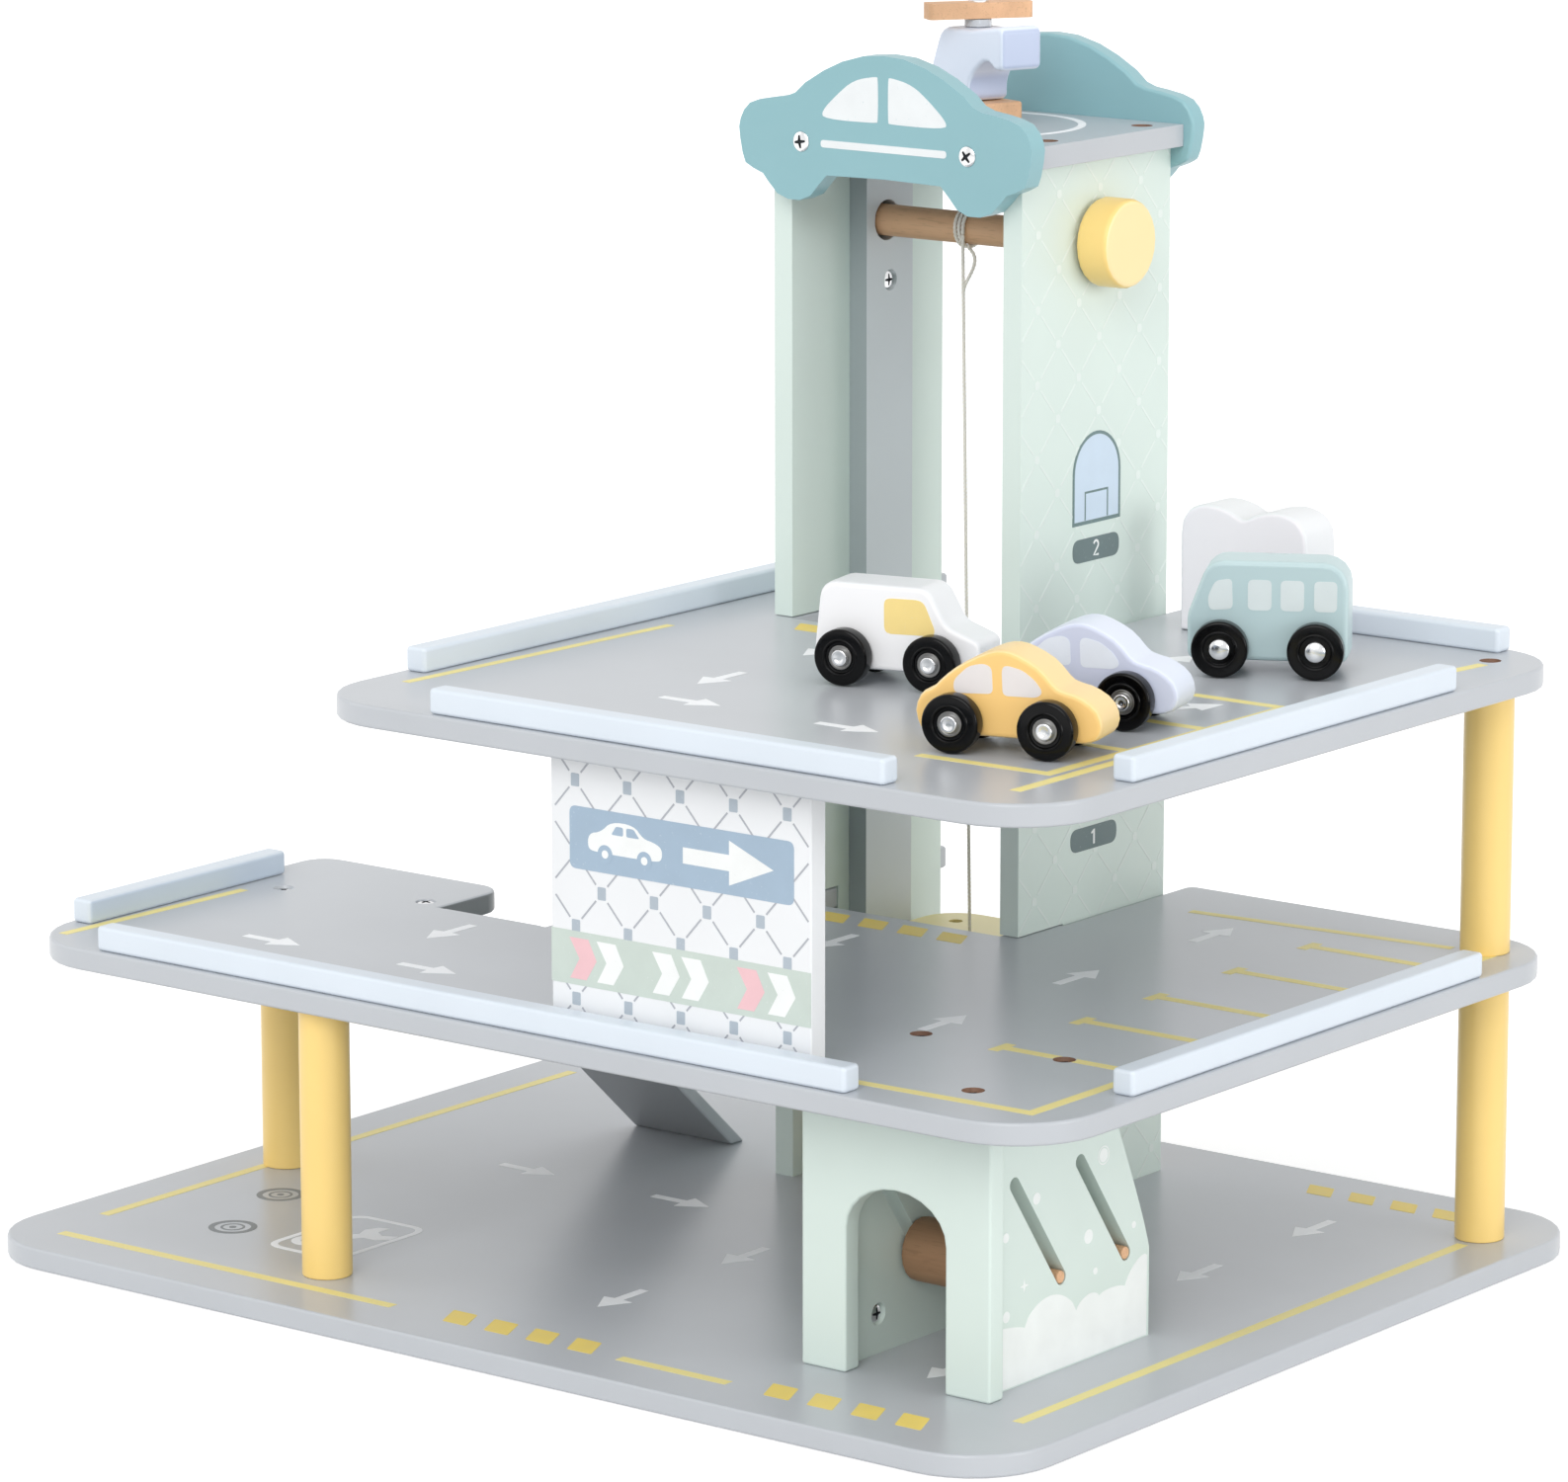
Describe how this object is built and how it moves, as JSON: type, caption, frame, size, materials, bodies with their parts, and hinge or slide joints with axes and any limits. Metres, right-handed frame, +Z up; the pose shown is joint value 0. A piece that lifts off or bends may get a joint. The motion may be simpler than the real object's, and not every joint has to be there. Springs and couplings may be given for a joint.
{
  "type": "toy parking garage",
  "caption": "Two-level toy parking garage with a knob-wound lift tower, ramp, roller car wash, guard rails, loose wooden vehicles, a cloud block and a roof helicopter.",
  "frame": {"origin": "middle of the underside of the base board", "axes": "+X to the right along the front, +Y to the back, +Z up"},
  "size_m": [0.51, 0.412, 0.4973],
  "materials": {
    "board_grey": "fibreboard with satin cool grey paint",
    "wall_mint": "fibreboard with satin pale mint paint",
    "sign_teal": "fibreboard with satin dusty teal paint",
    "block_white": "wood with satin white paint",
    "rail_blue": "wood with satin pale blue paint",
    "column_yellow": "wood with satin pastel yellow paint",
    "bare_beech": "bare sanded beech",
    "car_yellow": "wood with satin warm yellow paint",
    "lilac_paint": "wood with satin lilac-blue paint",
    "bus_green": "wood with satin grey-green paint",
    "wheel_black": "moulded black plastic",
    "spacer_grey": "moulded grey plastic",
    "screw_steel": "plated steel",
    "cord_cotton": "twisted cotton cord"
  },
  "bodies": {
    "garage_frame": {"base_board": "board_grey", "level_one_board": "board_grey", "level_two_board": "board_grey", "roof_board": "board_grey", "tower_left_wall": "wall_mint", "tower_right_wall": "wall_mint", "left_guide": "board_grey", "right_guide": "board_grey", "front_sign": "sign_teal", "back_sign": "sign_teal", "sign_screw_left": "screw_steel", "sign_screw_right": "screw_steel", "sign_panel": "block_white", "lower_left_rail": "rail_blue", "lower_front_rail": "rail_blue", "lower_right_rail": "rail_blue", "upper_left_rail": "rail_blue", "upper_front_rail": "rail_blue", "upper_right_rail": "rail_blue", "upper_back_rail": "rail_blue", "right_lower_column": "column_yellow", "right_upper_column": "column_yellow", "left_front_column": "column_yellow", "left_back_column": "column_yellow", "ramp": "board_grey", "wash_front_arch": "wall_mint", "wash_left_wall": "wall_mint", "wash_right_wall": "wall_mint", "lift_cord": "cord_cotton"},
    "lift_cabin": {"lift_floor": "column_yellow", "lift_post_front_left": "bare_beech", "lift_post_front_right": "bare_beech", "lift_post_back_left": "bare_beech", "lift_post_back_right": "bare_beech", "lift_roof": "column_yellow"},
    "winch": {"winch_axle": "bare_beech", "winch_knob": "column_yellow", "cord_winding": "cord_cotton"},
    "front_roller_carriage": {"front_roller_pin": "bare_beech"},
    "front_roller_drum": {"front_roller": "bare_beech"},
    "back_roller_carriage": {"back_roller_pin": "bare_beech"},
    "back_roller_drum": {"back_roller": "bare_beech"},
    "helicopter": {"helicopter_skid": "bare_beech", "helicopter_body": "lilac_paint", "rotor_spacer": "spacer_grey", "rotor_screw": "screw_steel"},
    "rotor": {"helicopter_rotor": "bare_beech"},
    "cloud": {"cloud_block": "block_white"},
    "yellow_car": {"yellow_car_body": "car_yellow"},
    "yellow_car_rear_axle": {"yellow_car_rear_wheels": "wheel_black"},
    "yellow_car_front_axle": {"yellow_car_front_wheels": "wheel_black"},
    "lilac_car": {"lilac_car_body": "lilac_paint"},
    "lilac_car_rear_axle": {"lilac_car_rear_wheels": "wheel_black"},
    "lilac_car_front_axle": {"lilac_car_front_wheels": "wheel_black"},
    "white_van": {"white_van_body": "block_white"},
    "white_van_rear_axle": {"white_van_rear_wheels": "wheel_black"},
    "white_van_front_axle": {"white_van_front_wheels": "wheel_black"},
    "green_bus": {"green_bus_body": "bus_green"},
    "green_bus_front_axle": {"green_bus_front_wheels": "wheel_black"},
    "green_bus_rear_axle": {"green_bus_rear_wheels": "wheel_black"}
  },
  "joints": [
    {"name": "lift_slide", "type": "slide", "parent": "garage_frame", "child": "lift_cabin", "axis": [0, 0, 1], "range_m": [0, 0.227], "deforming": ["lift_cord"]},
    {"name": "winch_turn", "type": "hinge", "parent": "garage_frame", "child": "winch", "pos_m": [0.00675, 0.117, 0.4035], "axis": [-1, 0, 0], "range_deg": [0, 1725]},
    {"name": "front_roller_lift", "type": "slide", "parent": "garage_frame", "child": "front_roller_carriage", "axis": [0, -0.5793, 0.8151], "range_m": [0, 0.0515]},
    {"name": "front_roller_spin", "type": "hinge", "parent": "front_roller_carriage", "child": "front_roller_drum", "pos_m": [0.165, -0.0916, 0.045], "axis": [1, 0, 0], "continuous": true},
    {"name": "back_roller_lift", "type": "slide", "parent": "garage_frame", "child": "back_roller_carriage", "axis": [0, -0.5793, 0.8151], "range_m": [0, 0.0515]},
    {"name": "back_roller_spin", "type": "hinge", "parent": "back_roller_carriage", "child": "back_roller_drum", "pos_m": [0.165, -0.0496, 0.045], "axis": [1, 0, 0], "continuous": true},
    {"name": "helicopter_lift_off", "type": "slide", "parent": "garage_frame", "child": "helicopter", "axis": [0, 0, 1], "range_m": [0, 0.1]},
    {"name": "rotor_spin", "type": "hinge", "parent": "helicopter", "child": "rotor", "pos_m": [0.00398, 0.12308, 0.4915], "axis": [0, 0, 1], "continuous": true},
    {"name": "cloud_lift_off", "type": "slide", "parent": "garage_frame", "child": "cloud", "axis": [0, 0, 1], "range_m": [0, 0.1]},
    {"name": "yellow_car_lift_off", "type": "slide", "parent": "garage_frame", "child": "yellow_car", "axis": [0, 0, 1], "range_m": [0, 0.1]},
    {"name": "yellow_car_rear_spin", "type": "hinge", "parent": "yellow_car", "child": "yellow_car_rear_axle", "pos_m": [0.1628, -0.0985, 0.25645], "axis": [-0.2756, 0.9613, 0], "continuous": true},
    {"name": "yellow_car_front_spin", "type": "hinge", "parent": "yellow_car", "child": "yellow_car_front_axle", "pos_m": [0.19885, -0.08816, 0.25645], "axis": [-0.2756, 0.9613, 0], "continuous": true},
    {"name": "lilac_car_lift_off", "type": "slide", "parent": "garage_frame", "child": "lilac_car", "axis": [0, 0, 1], "range_m": [0, 0.1]},
    {"name": "lilac_car_rear_spin", "type": "hinge", "parent": "lilac_car", "child": "lilac_car_rear_axle", "pos_m": [0.1536, -0.0361, 0.25645], "axis": [-0.2756, 0.9613, 0], "continuous": true},
    {"name": "lilac_car_front_spin", "type": "hinge", "parent": "lilac_car", "child": "lilac_car_front_axle", "pos_m": [0.18965, -0.02576, 0.25645], "axis": [-0.2756, 0.9613, 0], "continuous": true},
    {"name": "white_van_lift_off", "type": "slide", "parent": "garage_frame", "child": "white_van", "axis": [0, 0, 1], "range_m": [0, 0.1]},
    {"name": "white_van_rear_spin", "type": "hinge", "parent": "white_van", "child": "white_van_rear_axle", "pos_m": [0.0533, -0.0204, 0.25645], "axis": [-0.225, 0.9744, 0], "continuous": true},
    {"name": "white_van_front_spin", "type": "hinge", "parent": "white_van", "child": "white_van_front_axle", "pos_m": [0.08984, -0.01196, 0.25645], "axis": [-0.225, 0.9744, 0], "continuous": true},
    {"name": "green_bus_lift_off", "type": "slide", "parent": "garage_frame", "child": "green_bus", "axis": [0, 0, 1], "range_m": [0, 0.1]},
    {"name": "green_bus_front_spin", "type": "hinge", "parent": "green_bus", "child": "green_bus_front_axle", "pos_m": [0.1561, 0.0806, 0.25645], "axis": [-0.4772, 0.8788, 0], "continuous": true},
    {"name": "green_bus_rear_spin", "type": "hinge", "parent": "green_bus", "child": "green_bus_rear_axle", "pos_m": [0.18906, 0.09849, 0.25645], "axis": [-0.4772, 0.8788, 0], "continuous": true}
  ],
  "couplings": [
    {"joint": "winch_turn", "follows": "lift_slide", "rad_per_m": 132.45}
  ]
}
